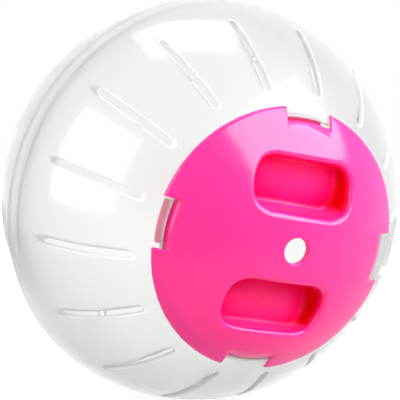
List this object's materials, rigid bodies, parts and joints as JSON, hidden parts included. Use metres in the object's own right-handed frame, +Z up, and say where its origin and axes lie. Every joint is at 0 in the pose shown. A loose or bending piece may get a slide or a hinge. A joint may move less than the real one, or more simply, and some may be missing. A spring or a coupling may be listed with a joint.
{
  "type": "hamster ball",
  "caption": "Clear hollow exercise ball of two lapped half shells with vent slots and a round bayonet lid with finger recesses.",
  "frame": {"origin": "common centre of the two shells' spheres", "axes": "-Y out of the lid along the ball's axis, +Z up as it stands in the picture, +X to the right when facing the lid"},
  "size_m": [0.1198, 0.1178, 0.1198],
  "materials": {
    "clear_plastic": "clear, slightly milky, polished",
    "pink_plastic": "hot pink, glossy moulded"
  },
  "bodies": {
    "front_shell": {"front_shell": "clear_plastic"},
    "rear_shell": {"rear_shell": "clear_plastic"},
    "lid": {"lid": "pink_plastic"}
  },
  "joints": [
    {"name": "lid_twist", "type": "hinge", "parent": "front_shell", "child": "lid", "pos_m": [0, -0.05, 0], "axis": [0, -1, 0], "range_deg": [0, 30]},
    {"name": "rear_shell_pull", "type": "slide", "parent": "front_shell", "child": "rear_shell", "axis": [0, 1, 0], "range_m": [0, 0.08]}
  ]
}
